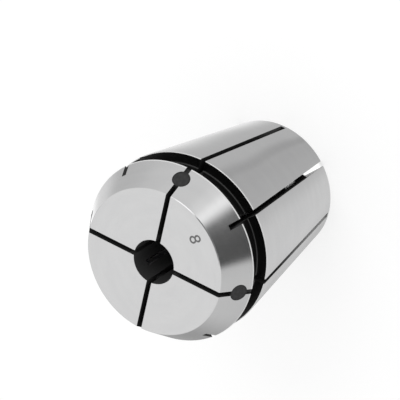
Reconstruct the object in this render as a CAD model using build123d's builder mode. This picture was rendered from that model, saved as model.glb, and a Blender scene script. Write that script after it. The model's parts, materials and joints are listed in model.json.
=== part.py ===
from build123d import *
from math import cos, radians, sin, tan
import os

# Spring collet: a short nose cone, a groove for the chuck nut's ring, and a long rear taper
# The steel is slotted from both ends in turn, and the slots that are open in front hold rubber seals
# Millimetres and degrees. The origin is the centre of the rear face, +Z runs along the axis to the nose,
# and +X passes through the middle of a front slot

# Turned outside, measured from the front face
overall_length = 40.0
largest_diameter = 33.0
nose_length = 5.7
nose_land = 0.15
nose_half_angle = 30.0
groove_width = 4.35
groove_depth = 2.0
taper_half_angle = 8.0

# Bore, with a wider relief at the rear that keeps the clamping length short
bore_diameter = 8.0
relief_step = 1.0
relief_length = 12.0

# Edges
edge_break = 0.08
face_break = 0.05
taper_break = 0.15
groove_fillet = 0.3
rear_chamfer = 0.3
mouth_chamfer = 0.5

# Slots, as many from the front face as from the rear face
slot_count = 4
slot_width = 0.95
rear_web = 0.9
front_web = 3.4

# Moulded seals in the front slots, set square to the cone
plug_diameter = 3.15
plug_setback = 3.4
plug_depth = 4.0
seal_bore_clearance = 0.5
web_recess = 0.3

# Heights and radii that follow from the sizes above
outer_radius = largest_diameter / 2
groove_front = overall_length - nose_length
groove_back = groove_front - groove_width
groove_floor = outer_radius - groove_depth
cone_end = groove_front + nose_land
face_radius = outer_radius - (overall_length - cone_end) * tan(radians(nose_half_angle))
rear_radius = outer_radius - groove_back * tan(radians(taper_half_angle))
bore_radius = bore_diameter / 2
relief_radius = bore_radius + relief_step
plug_radius = plug_diameter / 2
plug_height = overall_length - plug_setback
plug_reach = face_radius + plug_setback * tan(radians(nose_half_angle))
plug_floor_height = plug_height - plug_depth * sin(radians(nose_half_angle))
plug_floor_reach = plug_reach - plug_depth * cos(radians(nose_half_angle))
plug_tilt = 90 - nose_half_angle
web_start = bore_radius + seal_bore_clearance
slot_pitch = 360 / slot_count

# Half of the turned section, radius across and height up
with BuildSketch(Plane.XZ) as half_section:
    with BuildLine():
        Polyline(
            (bore_radius, overall_length),
            (face_radius, overall_length),
            (outer_radius, cone_end),
            (outer_radius, groove_front),
            (groove_floor, groove_front),
            (groove_floor, groove_back),
            (outer_radius, groove_back),
            (rear_radius, 0),
            (relief_radius, 0),
            (relief_radius, relief_length),
            (bore_radius, relief_length + relief_step),
            close=True,
        )
    make_face()

    def corner(radius, height):
        return half_section.vertices().sort_by_distance((radius, height))[0]

    chamfer(corner(bore_radius, overall_length), edge_break)
    chamfer(corner(face_radius, overall_length), face_break)
    chamfer(corner(outer_radius, groove_front), edge_break)
    chamfer(corner(outer_radius, groove_back), taper_break)
    chamfer(corner(rear_radius, 0), rear_chamfer)
    chamfer(corner(relief_radius, 0), mouth_chamfer)
    fillet(corner(groove_floor, groove_front), groove_fillet)
    fillet(corner(groove_floor, groove_back), groove_fillet)

# The steel body, turned first and then slotted
with BuildPart() as collet_body:
    revolve(half_section.sketch, axis=Axis.Z)

    # Front slots run from the front face almost to the rear face
    with BuildSketch(Plane.XY.offset(rear_web)):
        with PolarLocations(0, slot_count):
            Rectangle(largest_diameter, slot_width, align=(Align.MIN, Align.CENTER))
    extrude(amount=overall_length, mode=Mode.SUBTRACT)

    # Rear slots lie between them and end inside the nose
    with BuildSketch():
        with PolarLocations(0, slot_count, start_angle=slot_pitch / 2):
            Rectangle(largest_diameter, slot_width, align=(Align.MIN, Align.CENTER))
    extrude(amount=overall_length - front_web, mode=Mode.SUBTRACT)

    # A round pocket for each seal's plug, cut square into the nose cone across its slot
    with Locations((0, 0, plug_floor_height)):
        with PolarLocations(plug_floor_reach, slot_count):
            Cylinder(
                plug_radius,
                largest_diameter,
                rotation=(0, plug_tilt, 0),
                align=(Align.CENTER, Align.CENTER, Align.MIN),
                mode=Mode.SUBTRACT,
            )
collet_body.part.label = "collet_body"

# One seal as moulded for the slot on +X: a round plug, trimmed flush with the turned nose
with BuildPart() as seal:
    with Locations((plug_floor_reach, 0, plug_floor_height)):
        Cylinder(
            plug_radius,
            largest_diameter,
            rotation=(0, plug_tilt, 0),
            align=(Align.CENTER, Align.CENTER, Align.MIN),
        )
    revolve(half_section.sketch, axis=Axis.Z, mode=Mode.INTERSECT)

    # Its web fills the slot back to the groove, and lies a little under the cone
    with BuildSketch(Plane.XZ):
        with BuildLine():
            Polyline(
                (web_start, groove_front),
                (outer_radius - web_recess, groove_front),
                (plug_reach - web_recess, plug_height),
                (web_start, plug_height),
                close=True,
            )
        make_face()
    extrude(amount=slot_width / 2, both=True)

os.makedirs("parts", exist_ok=True)
export_step(collet_body.part, "parts/collet_body.step")

# The same seal in every front slot
for number, place in enumerate(PolarLocations(0, slot_count), start=1):
    with BuildPart() as seal_plug:
        with Locations(place):
            add(seal.part)
    seal_plug.part.label = f"seal_plug_{number}"
    export_step(seal_plug.part, f"parts/seal_plug_{number}.step")
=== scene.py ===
# %% [markdown]
# # A sealed spring collet
# The collet is a short steel cone that grips a drill's shank inside a machine spindle. Its body is turned and
# ground from one bar, sawn open by eight narrow slots, and closed again in front by four small rubber seals.
# The construction model already has every one of these shapes at its real size, so this script leaves them where
# they are. What it adds is the finish of each surface, the size figure on the face, a pale studio and the camera.

# %% Load the construction model
import json
from math import cos, degrees, radians, sin, tan

import bmesh
import bpy
from mathutils import Matrix, Quaternion, Vector

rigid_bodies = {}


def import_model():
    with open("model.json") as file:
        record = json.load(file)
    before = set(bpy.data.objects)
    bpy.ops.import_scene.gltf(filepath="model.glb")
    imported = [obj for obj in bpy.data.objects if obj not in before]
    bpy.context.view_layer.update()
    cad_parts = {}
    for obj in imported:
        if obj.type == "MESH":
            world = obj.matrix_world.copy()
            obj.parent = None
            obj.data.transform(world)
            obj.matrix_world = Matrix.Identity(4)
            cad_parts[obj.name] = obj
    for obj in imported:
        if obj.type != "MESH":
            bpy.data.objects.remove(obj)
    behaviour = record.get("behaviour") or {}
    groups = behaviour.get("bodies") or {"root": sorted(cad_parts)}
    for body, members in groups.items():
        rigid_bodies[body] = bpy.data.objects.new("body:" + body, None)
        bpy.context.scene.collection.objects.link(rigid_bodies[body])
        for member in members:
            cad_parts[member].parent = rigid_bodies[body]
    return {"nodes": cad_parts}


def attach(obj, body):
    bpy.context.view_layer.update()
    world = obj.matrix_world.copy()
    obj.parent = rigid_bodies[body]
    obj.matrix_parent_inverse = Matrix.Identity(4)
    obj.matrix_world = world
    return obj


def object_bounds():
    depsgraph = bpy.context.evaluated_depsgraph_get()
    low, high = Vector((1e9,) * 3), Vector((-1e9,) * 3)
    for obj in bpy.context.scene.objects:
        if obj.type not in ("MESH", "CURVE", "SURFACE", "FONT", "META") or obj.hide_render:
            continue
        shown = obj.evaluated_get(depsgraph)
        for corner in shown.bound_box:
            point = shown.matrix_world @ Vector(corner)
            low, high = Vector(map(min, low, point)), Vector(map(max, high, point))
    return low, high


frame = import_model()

cad_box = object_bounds()
print("pieces:", sorted(frame["nodes"]))
print("box in metres:", [list(corner) for corner in cad_box])

# %% [markdown]
# ## Sizes that the finishes need
# The finishes follow the turned shape: ground steel on the outside, dark steel in the groove and the slots. So the
# script needs to know where the outside lies. The length comes from the model's own box, and the rest are the
# collet's drawing sizes, in millimetres and degrees like the drawing.

# %% Sizes of the turned outside
MM = 0.001
length = cad_box[1][2] / MM
outer_radius = 16.5
nose_length = 5.7
nose_land = 0.15
nose_slope = tan(radians(30.0))
groove_width = 4.35
taper_slope = tan(radians(8.0))
groove_front = length - nose_length
groove_back = groove_front - groove_width
print("length", round(length, 3), "groove from", round(groove_back, 2), "to", round(groove_front, 2))

# %% [markdown]
# ## Shader maths as plain sums
# A finish that changes over a surface is worked out from the point's place. In Blender that takes a Math node for
# each sum, which is hard to read as a list of nodes. The class below wraps a node's output, so that `1 - mask`
# adds the node that it stands for. The second class holds a material, and adds every other node by one method.


# %% A wrapped output, which takes part in sums
class Wire:
    """One output of a node."""

    def __init__(self, finish, socket):
        self.finish = finish
        self.socket = socket

    def math(self, operation, *others):
        return self.finish.math(operation, self, *others)

    def __add__(self, other):
        return self.math("ADD", other)

    def __radd__(self, other):
        return self.math("ADD", other)

    def __sub__(self, other):
        return self.math("SUBTRACT", other)

    def __rsub__(self, other):
        return self.finish.math("SUBTRACT", other, self)

    def __mul__(self, other):
        return self.math("MULTIPLY", other)

    def __rmul__(self, other):
        return self.math("MULTIPLY", other)

    def __truediv__(self, other):
        return self.math("DIVIDE", other)

    def __abs__(self):
        return self.math("ABSOLUTE")

    def least(self, other):
        return self.math("MINIMUM", other)

    def most(self, other):
        return self.math("MAXIMUM", other)

    def above(self, limit):
        """1 over the limit and 0 under it."""
        return self.math("GREATER_THAN", limit)

    def below(self, limit):
        """1 under the limit and 0 over it."""
        return self.math("LESS_THAN", limit)

    def ramp(self, low, high):
        """0 below low, 1 above high, and smooth between them."""
        sockets = {"Value": self, "From Min": low, "From Max": high}
        return self.finish.add("ShaderNodeMapRange", {"interpolation_type": "SMOOTHSTEP"}, sockets)


print("wires can be added, multiplied and compared")


# %% A material and its nodes
def grey(tone):
    """A colour with no hue."""
    return (tone, tone, tone, 1)


class Finish:
    """A material, or a tree of nodes that already stands."""

    def __init__(self, name, tree=None):
        if tree is None:
            self.material = bpy.data.materials.new(name)
            self.material.use_nodes = True
            tree = self.material.node_tree
        self.tree = tree
        self.shader = next((node for node in tree.nodes if node.type == "BSDF_PRINCIPLED"), None)
        self.output = next((node for node in tree.nodes if node.type.startswith("OUTPUT")), None)

    def add(self, kind, settings=None, sockets=None, output=0):
        """Adds a node: first its settings, then the values or links of its sockets."""
        node = self.tree.nodes.new(kind)
        for name, value in (settings or {}).items():
            setattr(node, name, value)
        for name, value in (sockets or {}).items():
            self.put(node.inputs[name], value)
        return Wire(self, node.outputs[output])

    def math(self, operation, *values):
        return self.add("ShaderNodeMath", {"operation": operation}, dict(enumerate(values)))

    def put(self, socket, value):
        """Links a wire to a socket, or writes a plain value on it."""
        if isinstance(value, Wire):
            self.tree.links.new(value.socket, socket)
        else:
            socket.default_value = value

    def set(self, **values):
        """Writes values on the shader's sockets, whose names have spaces where the keywords have underscores."""
        for name, value in values.items():
            self.put(self.shader.inputs[name.replace("_", " ")], value)

    def mix(self, share, first, second):
        """A colour between two colours, which are inputs 6 and 7 of the node, with output 2 as the result."""
        return self.add("ShaderNodeMix", {"data_type": "RGBA"}, {0: share, 6: first, 7: second}, output=2)

    def noise(self, place, detail, scale=1.0, w=None):
        """Blender's noise, from 0 to 1, over three directions, or over four where w is given."""
        sockets = {"Vector": place, "Scale": scale, "Detail": detail}
        if w is None:
            return self.add("ShaderNodeTexNoise", {"noise_dimensions": "3D"}, sockets)
        return self.add("ShaderNodeTexNoise", {"noise_dimensions": "4D"}, sockets | {"W": w})

    def vector(self, x, y, z):
        return self.add("ShaderNodeCombineXYZ", None, {"X": x, "Y": y, "Z": z})

    def parts(self, vector):
        """The three numbers of a vector."""
        outputs = self.add("ShaderNodeSeparateXYZ", None, {"Vector": vector}).socket.node.outputs
        return [Wire(self, socket) for socket in outputs]

    def spot(self):
        """The point's own place on the piece, in millimetres."""
        place = self.add("ShaderNodeTexCoord", output="Object")
        return self.add("ShaderNodeVectorMath", {"operation": "SCALE"}, {"Vector": place, "Scale": 1 / MM})

    def facing(self):
        """The direction that the surface faces."""
        return self.add("ShaderNodeTexCoord", output="Normal")

    def rays(self):
        """1 for what the camera sees itself, for what is seen in a reflection, and for what is seen through glass."""
        outputs = self.add("ShaderNodeLightPath").socket.node.outputs
        return [Wire(self, outputs[f"Is {kind} Ray"]) for kind in ("Camera", "Glossy", "Transmission")]


print("a finish adds nodes and writes on the shader")

# %% [markdown]
# ## Ground and dark steel
# On the real collet the face, the two cones and the land between them are ground last, after hardening, so they
# are bright, with very fine rings that the wheel leaves around the axis. The slots, the groove and the bore keep
# the dark skin of the hardening. One material can do both, because the place of a point says which it is: the
# outside is where the point lies on the turned outline. The model's arcs are made of short flats that lie a hair
# under the true circle, so every test allows that hair.

# %% Depth under the outline
hair = 0.012
edge_break = 0.08
face_break = 0.05
rear_chamfer = 0.3


def under_nose(z, radius):
    """How deep a point lies under the nose cone and its land."""
    return (outer_radius - (z - groove_front - nose_land) * nose_slope).least(outer_radius) - radius


def under_taper(z, radius):
    """How deep a point lies under the rear taper."""
    return (outer_radius - (groove_back - z) * taper_slope).least(outer_radius) - radius


print("ground steel lies no deeper than", round(edge_break + hair, 3), "mm under the nose cone")

# %% [markdown]
# A slot's wall reaches the outline too, so depth alone would call its edge ground. But a wall faces around the axis
# and the outside never does, and the surface's own direction shows which of the two a point is on. The sign of the
# same number tells a slot's one wall from the other.

# %% The ground outside, and the painted highlights on its edges
LAND_HIGHLIGHT_FADE = (0.24, 0.33)
RIM_HIGHLIGHT_SHARE = 0.1
FACING_UP = 0.97


def turned_around(steel, x, y, radius):
    """How far the surface faces around the axis, 1 or -1 on the two walls of a slot, and how far it faces up."""
    east, north, up = steel.parts(steel.facing())
    return (x * north - y * east) / radius, up


def ground_outside(z, radius, sawn, up):
    """1 on the ground outside, and 1 on its broken edges and its land, where a painted highlight draws a light line.
    """
    nose_depth = under_nose(z, radius)
    taper_depth = under_taper(z, radius)
    on_nose = z.above(groove_front + hair) * nose_depth.below(edge_break + hair)
    on_taper = z.below(groove_back - hair) * taper_depth.below(rear_chamfer + hair)
    on_face = z.above(length - face_break - hair)
    ground = on_nose.most(on_taper).most(on_face).most(z.below(hair)) * (1 - sawn)

    # The rim, the corner and the land get a painted highlight: a pale band, hardly metal and rougher, in place of the
    # light that their rounding catches
    rim = on_nose * nose_depth.ramp(2 * hair, 4 * hair) * RIM_HIGHLIGHT_SHARE
    corner = on_taper * taper_depth.ramp(3 * hair, 5 * hair)
    land = on_nose * (1 - (z - groove_front).ramp(*LAND_HIGHLIGHT_FADE))
    edges = rim.most(corner).most(land) * (1 - sawn) * up.below(FACING_UP)
    return ground, edges


print("nose from", round(groove_front, 2), "mm, taper up to", round(groove_back, 2), "mm")

# %% [markdown]
# The grinding wheel's rings are noise that changes fast along the outline and hardly at all around the axis. They
# move the roughness a little and tip the surface by a hair, which draws the reflections out across the rings, as
# grinding does. A second, wide noise keeps the tone from being the same all over.

# %% Rings of the wheel, and wide changes of tone
RINGS_PER_MM = 9.0
CLOUDS_PER_MM = 0.6
CLOUDS_AROUND = 2


def wheel_rings(steel, x, y, z, radius):
    around = steel.vector(x / radius, y / radius, z * RINGS_PER_MM)
    return steel.noise(around, 3.0, w=radius * RINGS_PER_MM)


def wide_cloud(steel, x, y, z, radius):
    wide = steel.vector(x / radius * CLOUDS_AROUND, y / radius * CLOUDS_AROUND, z * CLOUDS_PER_MM)
    return steel.noise(wide, 2.0, w=radius * CLOUDS_PER_MM)


print("about", RINGS_PER_MM, "rings to the millimetre")

# %% [markdown]
# ## Walls of the slots
# The slots aren't equally dark. Each front slot has one wall with painted light on it, which is paler towards the
# small end. The rear slots lie between them, on the diagonals. They open at the small end, where their walls carry a
# painted highlight, and a second patch of painted light lies further in. Both patches end on a slant. Deep in these
# slots, beside the bore, the walls are pale again: painted light that evens out the shade of the narrow slot.

# %% Painted light on the front slots' walls
LIGHT_PAINT_END = (3.0, 27.0)
OTHER_LIGHT_PAINT_END = (1.0, 12.0)
OTHER_WALL_LIGHT_SHARE = 0.13
LIGHT_PAINT_DEPTH = (1.0, 3.0)


def painted_light_wall(z, depth, turned):
    """How much a front slot's wall is paler from painted light."""
    one = turned.above(0.0)
    along = one * (1 - z.ramp(*LIGHT_PAINT_END)) + (1 - one) * (1 - z.ramp(*OTHER_LIGHT_PAINT_END)) * OTHER_WALL_LIGHT_SHARE
    return along * (1 - depth.ramp(*LIGHT_PAINT_DEPTH))


print("front slots are paler up to", LIGHT_PAINT_END[1], "mm")

# %% Painted highlights and light in the rear slots
HIGHLIGHT_SLANT = 1.57
MOUTH_END = (7.4, 8.2)
DULL_SLANT = 0.89
DULL_EDGE = 0.15
DULL_SHARE = 0.38
PATCH_START = (11.3, 12.3)
PATCH_END = (15.8, 17.0)
PATCH_DEPTH = (1.0, 5.0)
PATCH_SHARE = 0.88
INSIDE_HEIGHT = (12.0, 18.0)
INSIDE_START = (1.5, 9.0)
INSIDE_END = (8.5, 11.0)


def painted_mouth_highlight(z, depth):
    """How bright the painted highlight on a rear slot's wall is, where the slot opens at the small end."""
    bright = 1 - (z + depth * HIGHLIGHT_SLANT).ramp(*MOUTH_END)
    dull = (z - depth * DULL_SLANT).ramp(-DULL_EDGE, DULL_EDGE)
    return bright * (1 - dull * DULL_SHARE)


def painted_light_patch(z, depth):
    """How bright the painted light on a rear slot's wall is, in the patch further in."""
    slant = z + depth * HIGHLIGHT_SLANT
    return slant.ramp(*PATCH_START) * (1 - slant.ramp(*PATCH_END)) * depth.ramp(*PATCH_DEPTH) * PATCH_SHARE


def painted_light_beside_bore(z, radius):
    """How much painted light a rear slot's wall has deep inside, which evens out its shade beside the bore."""
    return z.ramp(*INSIDE_HEIGHT) * radius.ramp(*INSIDE_START) * (1 - radius.ramp(*INSIDE_END))


# The printed height is where the painted highlight at the rear slots' mouths ends
print("rear slots are rubbed bright up to", MOUTH_END[0], "mm from the small end")

# %% [markdown]
# The dark skin has several tones. It is a little paler on the saw's walls, has a dull gloss in the groove, where the
# turned steel shows through, and is evenly dark in the bore. The tones are laid over each other like coats of
# paint, from the widest place to the smallest, and the slot walls' tones come last, most of them painted light and
# painted highlights.

# %% Tones of the dark skin
relief_radius = 5.0
SKIN = (0.008, 0.014)
SAWN = 0.025
GROOVE = 0.05
BORE = 0.048
PAINTED_LIGHT_TONE = 0.65
MOUTH_HIGHLIGHT_TONE = 0.6
REAR_WALL = 0.08


def dark_skin(steel, cloud, sawn, gloss, outside_bore):
    skin = steel.mix(cloud, grey(SKIN[0]), grey(SKIN[1]))
    skin = steel.mix(sawn, skin, grey(SAWN))
    skin = steel.mix(gloss, skin, grey(GROOVE))
    return steel.mix(outside_bore, grey(BORE), skin)


def sawn_skin(steel, skin, paler, slot_highlights, plain, inside):
    # Painted light on the front walls, the rear slots' painted highlights, the rear walls' paler tone, then painted
    # light beside the bore
    skin = steel.mix(paler, skin, grey(PAINTED_LIGHT_TONE))
    skin = steel.mix(slot_highlights, skin, grey(MOUTH_HIGHLIGHT_TONE))
    skin = steel.mix(plain, skin, grey(REAR_WALL))
    return steel.mix(inside, skin, grey(PAINTED_LIGHT_TONE))


print("bore and relief reach to", relief_radius, "mm from the axis")

# %% [markdown]
# ## The steel
# The masks above now drive one shader. Ground places, the rear slots' painted highlights and painted light, and the
# groove's gloss are metal. The painted highlight lines on the edges are hardly metal, and the dark skin isn't,
# because it reflects almost nothing. The edge between face and nose is rolled a little further than its bevel. The
# bump
# draws that: its height falls towards the edge, so the last tenth of a millimetre of the cone tips over.

# %% Places on the steel
DIAGONAL = 0.3
WALL = 0.5


class Places:
    """Where a point of the steel is, as numbers and masks that the shader takes."""

    def __init__(self, steel):
        self.x, self.y, self.z = steel.parts(steel.spot())
        self.radius = (self.x * self.x + self.y * self.y).math("SQRT")
        self.turned, up = turned_around(steel, self.x, self.y, self.radius)
        self.sawn = abs(self.turned).above(WALL)
        self.ground, self.edges = ground_outside(self.z, self.radius, self.sawn, up)
        self.outside_bore = self.radius.above(relief_radius + hair)
        between = (1 - self.z.above(groove_front + hair)) * (1 - self.z.below(groove_back - hair))
        self.groove = between * (1 - self.sawn) * self.outside_bore

        # The rear slots' walls are those where x and y are about the same, and the front slots' have one near 0
        diagonal = abs(self.x * self.y).above(self.radius * self.radius * DIAGONAL)
        self.rear_wall = self.sawn * diagonal
        self.front_wall = self.sawn * (1 - diagonal)
        self.depth = outer_radius - (groove_back - self.z) * taper_slope - self.radius


print("a wall faces around by more than", WALL)

# %% The steel
BRIGHT = ((0.60, 0.60, 0.605, 1), grey(0.66))
EDGE_HIGHLIGHT_TONE = 0.76
SKIN_ROUGHNESS = 0.6
GROUND_ROUGHNESS = 0.15
ROLL_START = 0.13
ROLL_WIDTH = 0.085
ROLL_SLOPE = 0.667
RING_HEIGHT = 0.001


def collet_steel():
    steel = Finish("collet_steel")
    at = Places(steel)
    rings = wheel_rings(steel, at.x, at.y, at.z, at.radius)
    cloud = wide_cloud(steel, at.x, at.y, at.z, at.radius)
    # Painted highlight at the rear slots' mouths and painted light in the patch further in, both as glossy metal
    mouth_highlight = at.rear_wall * painted_mouth_highlight(at.z, at.depth)
    slot_highlights = mouth_highlight.most(at.rear_wall * painted_light_patch(at.z, at.depth))

    # Painted light on the front slots' walls, paler towards the small end
    paler = at.front_wall * painted_light_wall(at.z, at.depth, at.turned)
    plain = at.rear_wall * (1 - slot_highlights) * at.z.ramp(0.0, 4.0)
    # Painted light beside the bore, which evens out the shade in the narrow rear slots
    inside = at.rear_wall * painted_light_beside_bore(at.z, at.radius)
    skin = dark_skin(steel, cloud, at.sawn, at.groove, at.outside_bore)
    skin = sawn_skin(steel, skin, paler, slot_highlights, plain, inside)
    # The edges' pale band is a painted highlight line, so it is made less metal and rougher than the ground steel
    bright = steel.mix(at.edges, steel.mix(cloud, *BRIGHT), grey(EDGE_HIGHLIGHT_TONE))
    steel.set(Base_Color=steel.mix(at.ground, skin, bright))
    steel.set(Metallic=(at.ground - at.edges * 0.9).most(slot_highlights).most(at.groove))
    steel.set(Specular_IOR_Level=0.0)

    smooth = at.ground.most(mouth_highlight).most(slot_highlights * 0.6)
    roughness = SKIN_ROUGHNESS - smooth * (SKIN_ROUGHNESS - GROUND_ROUGHNESS) + at.edges * 0.3 - at.groove * 0.25
    steel.set(Roughness=roughness + (rings - 0.5) * 0.08 + (cloud - 0.5) * 0.05)
    roll = (at.z - (length - ROLL_START)).most(0.0).least(ROLL_WIDTH) * ROLL_SLOPE
    height = rings * (1 - at.sawn) * RING_HEIGHT - roll
    steel.set(Normal=steel.add("ShaderNodeBump", None, {"Strength": 1.0, "Distance": MM, "Height": height}))
    return steel.material


body = frame["nodes"]["collet_body"].data
body.materials.clear()
body.materials.append(collet_steel())
print("steel on collet_body:", len(body.materials[0].node_tree.nodes), "nodes")

# %% [markdown]
# ## Seal rubber
# The seals are moulded in dark grey rubber. Its faces are matt with a fine dull grain from the mould, so the
# material is rough, with a small speckle in its tone and a low bump of the same size, over wider and softer
# patches. The plug's rim and the web behind it are darker. How far a point is from the middle of its plug is
# measured along the cone, which is why the height is divided by the cone's slant.

# %% The rubber
plug_height = length - 3.4
plug_radius = 3.15 / 2
cone_slant = cos(radians(30.0))
GRAIN_SIZE = 14.0
PATCH_SIZE = 2.2
GRAIN_DEPTH = 0.03
RUBBER = (grey(0.016), (0.034, 0.034, 0.035, 1))
RUBBER_RIM = 0.008


def seal_rubber():
    rubber = Finish("seal_rubber")
    spot = rubber.spot()
    grain = rubber.noise(spot, 3.0, scale=GRAIN_SIZE)
    patches = rubber.noise(spot, 2.0, scale=PATCH_SIZE).ramp(0.3, 0.7)
    skin = rubber.mix(grain * 0.3 + patches * 0.7, *RUBBER)

    x, y, z = rubber.parts(spot)
    across = abs(x).least(abs(y))
    along = (z - plug_height) / cone_slant
    ring = (across * across + along * along).math("SQRT")
    rim = ring.ramp(plug_radius - 0.4, plug_radius - 0.1)
    rubber.set(Base_Color=rubber.mix(rim * 0.6, skin, grey(RUBBER_RIM)))
    rubber.set(Metallic=0.0)
    rubber.set(Specular_IOR_Level=0.3)
    rubber.set(Roughness=0.6 + (grain - 0.5) * 0.2)
    bump = {"Strength": 0.25, "Distance": GRAIN_DEPTH * MM, "Height": grain}
    rubber.set(Normal=rubber.add("ShaderNodeBump", None, bump))
    return rubber.material


rubber_finish = seal_rubber()
seals = [node for name, node in frame["nodes"].items() if name.startswith("seal_plug")]
for seal in seals:
    seal.data.materials.clear()
    seal.data.materials.append(rubber_finish)
print("rubber on", len(seals), "seals")

# %% [markdown]
# ## The size figure
# A collet carries its bore's size on the face, burnt in as a thin dark figure. Here it is a plain 8, for 8 mm. It
# is a text object made a mesh, because a letter's outline is what Blender's text is for, with a hair of thickness
# so that it lies on the steel like the burnt skin of the metal.

# %% The burnt steel of the figure
BURN_SIZE = 8.0
BURNT = (grey(0.13), grey(0.23))


def mark_steel():
    mark = Finish("marked_steel")
    burn = mark.noise(mark.spot(), 2.0, scale=BURN_SIZE)
    mark.set(Base_Color=mark.mix(burn, *BURNT))
    mark.set(Metallic=1.0)
    mark.set(Roughness=0.5 + burn * 0.1)
    return mark.material


print("the burn is between", BURNT[0][0], "and", BURNT[1][0])

# %% The figure
CAP_SHARE = 0.73
MARK_THICKNESS = 0.006
STROKE_SHARE = 0.004


def size_figure(words, height, radius, azimuth, top_azimuth):
    """A figure on the face, at a radius and azimuth, with its top towards another azimuth."""
    curve = bpy.data.curves.new("size_figure", "FONT")
    curve.body = words
    curve.size = height / CAP_SHARE * MM
    curve.align_x = "CENTER"
    curve.align_y = "CENTER"
    curve.extrude = MARK_THICKNESS * MM
    curve.offset = STROKE_SHARE * height * MM
    text = bpy.data.objects.new("size_figure_text", curve)
    bpy.context.collection.objects.link(text)
    bpy.context.view_layer.update()
    mesh = bpy.data.meshes.new_from_object(text.evaluated_get(bpy.context.evaluated_depsgraph_get()))
    bpy.data.objects.remove(text)

    middle = sum((Vector(v.co) for v in mesh.vertices), Vector()) / len(mesh.vertices)
    spot = Vector((radius * cos(radians(azimuth)), radius * sin(radians(azimuth)), length)) * MM
    turn = Matrix.Rotation(radians(top_azimuth - 90), 4, "Z")
    mesh.transform(Matrix.Translation(spot) @ turn @ Matrix.Translation(-middle))
    mesh.materials.append(mark_steel())
    figure = bpy.data.objects.new("size_figure", mesh)
    bpy.context.collection.objects.link(figure)
    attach(figure, "root")
    return figure


figure = size_figure("8", height=2.35, radius=10.36, azimuth=-40.2, top_azimuth=-53)
print("figure faces:", len(figure.data.polygons))

# %% [markdown]
# ## The camera
# The picture is taken from a long way off through a long lens, so the circles look almost like true ellipses. The
# camera looks at the middle of the collet from 52 degrees above the floor, and it is turned about its own line of
# sight, so that the nose points to the lower left.

# %% The camera
AIM = Vector((2.863, 3.666, 20.0)) * MM
CAMERA_AZIMUTH = -37.66
CAMERA_ELEVATION = 51.866
CAMERA_DISTANCE = 519.02 * MM
CAMERA_ROLL = -122.599
LENS = 266.65
SENSOR = 36.0


def direction(azimuth, elevation):
    """The way to a point of the sky, given in degrees."""
    flat = cos(radians(elevation))
    return Vector((cos(radians(azimuth)) * flat, sin(radians(azimuth)) * flat, sin(radians(elevation))))


away = direction(CAMERA_AZIMUTH, CAMERA_ELEVATION)
lens = bpy.data.cameras.new("camera")
lens.lens = LENS
lens.sensor_width = SENSOR
lens.clip_start = 0.01
lens.clip_end = 50
camera = bpy.data.objects.new("camera", lens)
bpy.context.collection.objects.link(camera)
camera.rotation_mode = "QUATERNION"
camera.rotation_quaternion = away.to_track_quat("Z", "Y") @ Quaternion((0, 0, 1), radians(CAMERA_ROLL))
camera.location = AIM + away * CAMERA_DISTANCE
bpy.context.scene.camera = camera
print("camera at", [round(v / MM, 2) for v in camera.location])

# %% [markdown]
# ## The studio
# Steel shows its surroundings more than itself, so the studio is part of the finish. The collet stands on a white
# floor under an even white sky. Around it stand two rings of card. A low wall has one dark gap beside one bright
# strip, and those two draw the dark band and the streak that make the nose look like metal. A brow hangs high up on
# the camera's side, and the face shows it. The rings are for reflections only: the camera, the soft light and the
# shadows pass them by. What changes around the collet is worked out from the bearing, which is the angle around the
# axis, counted from the side that the picture is taken from.


# %% Bearing, and a tone that changes with it
def compass(finish):
    """The bearing in degrees, and the distance from the axis in millimetres."""
    x, y, _ = finish.parts(finish.spot())
    turn = radians(CAMERA_AZIMUTH)
    towards = x * cos(turn) + y * sin(turn)
    aside = y * cos(turn) - x * sin(turn)
    return aside.math("ARCTAN2", towards) * degrees(1), (x * x + y * y).math("SQRT")


def tones(bearing, first, changes):
    """A tone that starts at first, and changes to the next one between two bearings."""
    tone = first
    before = first
    for start, end, after in changes:
        tone = tone + bearing.ramp(start, end) * (after - before)
        before = after
    return tone


print("bearing 0 is azimuth", CAMERA_AZIMUTH)

# %% [markdown]
# The floor takes the collet's shadow, but its own glow keeps it near white for the camera. In reflections it shows
# a tone of its own, with no shadow, so the long taper doesn't darken towards its foot. The taper sees the floor at
# its foot from close by and the floor further out at a slant, so there are two sets of tones: near ones, whose
# bearings are drawn together towards the foot, and far ones. Right under the collet the floor glows brighter, as
# painted light that cancels the collet's shade there, which keeps the gap of a slot bright where one looks through
# it.

# %% Tones of the floor in reflections
NEAR_TONES = [
    (-120, -60, 0.83),
    (-38, 0, 0.60),
    (0, 18, 0.57),
    (23, 29, 0.505),
    (31, 43, 0.635),
    (72, 124, 0.97),
    (150, 180, 0.58),
]
FAR_TONES = [
    (-180, -165, 0.42),
    (-143, -103, 0.75),
    (85, 120, 0.68),
    (122, 140, 0.88),
    (144, 164, 1.32),
    (172, 180, 0.80),
]
NEAR_TO_FAR = (28.0, 40.0)
STRAIGHT_REACH = 21.0
FURTHEST_PULL = 26.0
PULL_WIDTH = 7.5
PULL_SHARE = 0.46
UNDER_TONE = 0.8


def mirrored_floor(bearing, reach, under):
    """The floor's tone for something that reflects it."""
    pull = (STRAIGHT_REACH - reach.least(FURTHEST_PULL)) / PULL_WIDTH
    slant = bearing * (1 + pull * pull * pull * PULL_SHARE)
    near = tones(slant, 0.58, NEAR_TONES)
    far = tones(bearing, 0.80, FAR_TONES)
    return near + (far - near) * reach.ramp(*NEAR_TO_FAR) + under * UNDER_TONE


print("near tones change to far ones between", NEAR_TO_FAR, "mm from the axis")

# %% The floor's material
FOOT = (11.0, 12.0)
PAINT = 0.80
PAINT_SEEN = 0.38
GLOW = 0.66
GLOW_UNDER = 0.34


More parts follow.
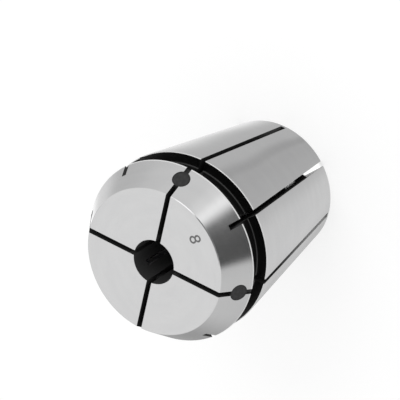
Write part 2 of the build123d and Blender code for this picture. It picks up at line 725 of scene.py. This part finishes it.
def floor_finish():
    floor = Finish("pale_floor")
    bearing, reach = compass(floor)
    under = 1 - reach.ramp(*FOOT)
    camera_ray, glossy_ray, clear_ray = floor.rays()
    seen = camera_ray.most(clear_ray)

    # Its paint is darker for the camera than for the light, because the camera sees its glow as well
    tone = PAINT - seen * (PAINT - PAINT_SEEN)
    paint = floor.add("ShaderNodeCombineColor", None, {"Red": tone, "Green": tone, "Blue": tone})
    floor.set(Base_Color=paint, Roughness=0.9, Specular_IOR_Level=0.0)
    # Under the collet the glow is stronger, as painted light that cancels the collet's shade there
    glow = floor.add("ShaderNodeEmission", None, {"Color": seen * (GLOW + under * GLOW_UNDER)})
    shown = floor.add("ShaderNodeAddShader", None, {0: Wire(floor, floor.shader.outputs[0]), 1: glow})
    mirrored = floor.add("ShaderNodeEmission", None, {"Color": mirrored_floor(bearing, reach, under)})
    both = floor.add("ShaderNodeMixShader", None, {0: glossy_ray, 1: shown, 2: mirrored})
    floor.put(floor.output.inputs["Surface"], both)
    return floor.material


print("floor is white up to", FOOT[0], "mm from the axis")

# %% The floor
SIDES = 96
FLOOR_RADIUS = 3.0

shape = bmesh.new()
bmesh.ops.create_circle(shape, cap_ends=True, segments=SIDES, radius=FLOOR_RADIUS)
mesh = bpy.data.meshes.new("floor")
shape.to_mesh(mesh)
shape.free()
floor = bpy.data.objects.new("floor", mesh)
bpy.context.collection.objects.link(floor)
mesh.materials.append(floor_finish())
print("floor", len(mesh.polygons), "face")

# %% [markdown]
# A ring of card is a circle of edges that is extruded once. Its lower circle is moved up to where the card begins,
# and its upper circle is scaled and moved to where it ends, so the same steps make an upright wall or a leaning
# brow. Its material is a glow alone, because a card that took light would take the collet's shadow too.


# %% A ring of card
def card_ring(name, low, high, first, changes):
    """A ring from one radius and height to another, in metres, whose tone changes with the bearing."""
    shape = bmesh.new()
    lower = bmesh.ops.create_circle(shape, segments=SIDES, radius=low[0])["verts"]
    raised = bmesh.ops.extrude_edge_only(shape, edges=shape.edges[:])["geom"]
    upper = [item for item in raised if isinstance(item, bmesh.types.BMVert)]
    bmesh.ops.translate(shape, verts=lower, vec=(0, 0, low[1]))
    bmesh.ops.scale(shape, verts=upper, vec=(high[0] / low[0], high[0] / low[0], 1))
    bmesh.ops.translate(shape, verts=upper, vec=(0, 0, high[1]))
    mesh = bpy.data.meshes.new(name)
    shape.to_mesh(mesh)
    shape.free()

    card = Finish(name)
    card.tree.nodes.remove(card.shader)
    bearing, _ = compass(card)
    glow = card.add("ShaderNodeEmission", None, {"Color": tones(bearing, first, changes)})
    card.put(card.output.inputs["Surface"], glow)
    mesh.materials.append(card.material)
    ring = bpy.data.objects.new(name, mesh)
    bpy.context.collection.objects.link(ring)
    ring.visible_camera = False
    ring.visible_diffuse = False
    ring.visible_shadow = False
    return ring


print("a card has", SIDES, "sides")

# %% The wall and the brow
WALL_TONES = [
    (-70, -58, 0.74),
    (-54.5, -45, 0.10),
    (-32, -14, 0.13),
    (-14, -4, 0.21),
    (-3.5, 12, 1.27),
    (13, 24, 0.97),
    (25, 36, 0.87),
    (50, 85, 0.80),
]
BROW_TONES = [
    (-70, -56, 0.10),
    (22, 40, 1.80),
    (78, 95, 1.00),
]
wall = card_ring("wall_card", (0.30, 0.001), (0.30, 0.11), 0.77, WALL_TONES)
brow = card_ring("brow_card", (0.218, 0.375), (0.097, 0.428), 1.00, BROW_TONES)
print("cards:", [ring.name for ring in (wall, brow)])

# %% [markdown]
# The sky is plain white. It is a little weaker as a light than as something seen, and one wide soft lamp makes up
# the difference, so that the light has a side and a shadow has a direction. Together they give a white surface
# about its own white.

# %% The sky
SKY_LIGHT = 0.85
world = bpy.data.worlds.new("sky")
bpy.context.scene.world = world
world.use_nodes = True
sky = Finish("sky", world.node_tree)
backdrop = world.node_tree.nodes["Background"]
camera_ray, glossy_ray, clear_ray = sky.rays()
seen = camera_ray.most(glossy_ray).most(clear_ray)
backdrop.inputs["Color"].default_value = grey(1)
sky.put(backdrop.inputs["Strength"], SKY_LIGHT + seen * (1 - SKY_LIGHT))
print("sky", SKY_LIGHT, "as a light and 1 as seen")

# %% The lamp
LAMP_DISTANCE = 0.8
lamp = bpy.data.lights.new("key", "AREA")
lamp.shape = "DISK"
lamp.size = 0.5
lamp.energy = 1.2
key = bpy.data.objects.new("key", lamp)
bpy.context.collection.objects.link(key)
key.visible_glossy = False
key_from = direction(20, 45)
key.location = key_from * LAMP_DISTANCE
key.rotation_mode = "QUATERNION"
key.rotation_quaternion = key_from.to_track_quat("Z", "Y")
bpy.context.scene.view_settings.view_transform = "Standard"
print("lamp at", [round(v, 3) for v in key.location])
